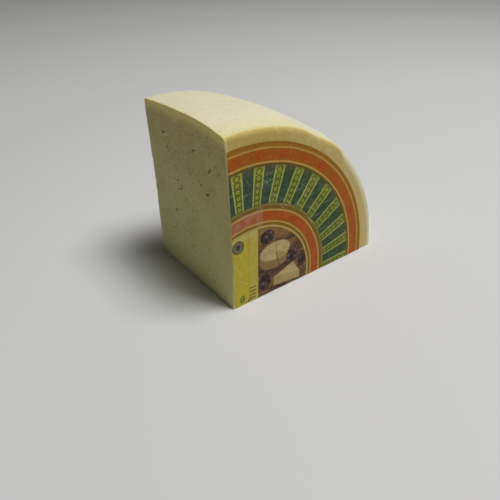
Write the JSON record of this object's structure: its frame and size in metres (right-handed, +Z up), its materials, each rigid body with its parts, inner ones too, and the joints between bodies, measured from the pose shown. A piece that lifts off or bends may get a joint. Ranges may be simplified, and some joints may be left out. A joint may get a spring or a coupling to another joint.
{
  "type": "asiago cheese wedge",
  "caption": "Thick wedge of a pressed cheese wheel standing on its cut, with a small-eyed paste, a smooth bulging pale rind and a round printed paper label on its flat face.",
  "frame": {"origin": "middle of the wedge's bounding box, on the surface it stands on", "axes": "+Z up, the labelled face looks towards -Y, the upright cut face towards -X, the rind curves over the top and down the +X side"},
  "size_m": [0.1984, 0.1336, 0.169],
  "materials": {
    "cheese": "satin, pale cream paste and rind",
    "label_print": "printed paper under clear film, semi-gloss"
  },
  "bodies": {
    "root": {"cheese": "cheese", "label": "label_print"}
  },
  "joints": []
}
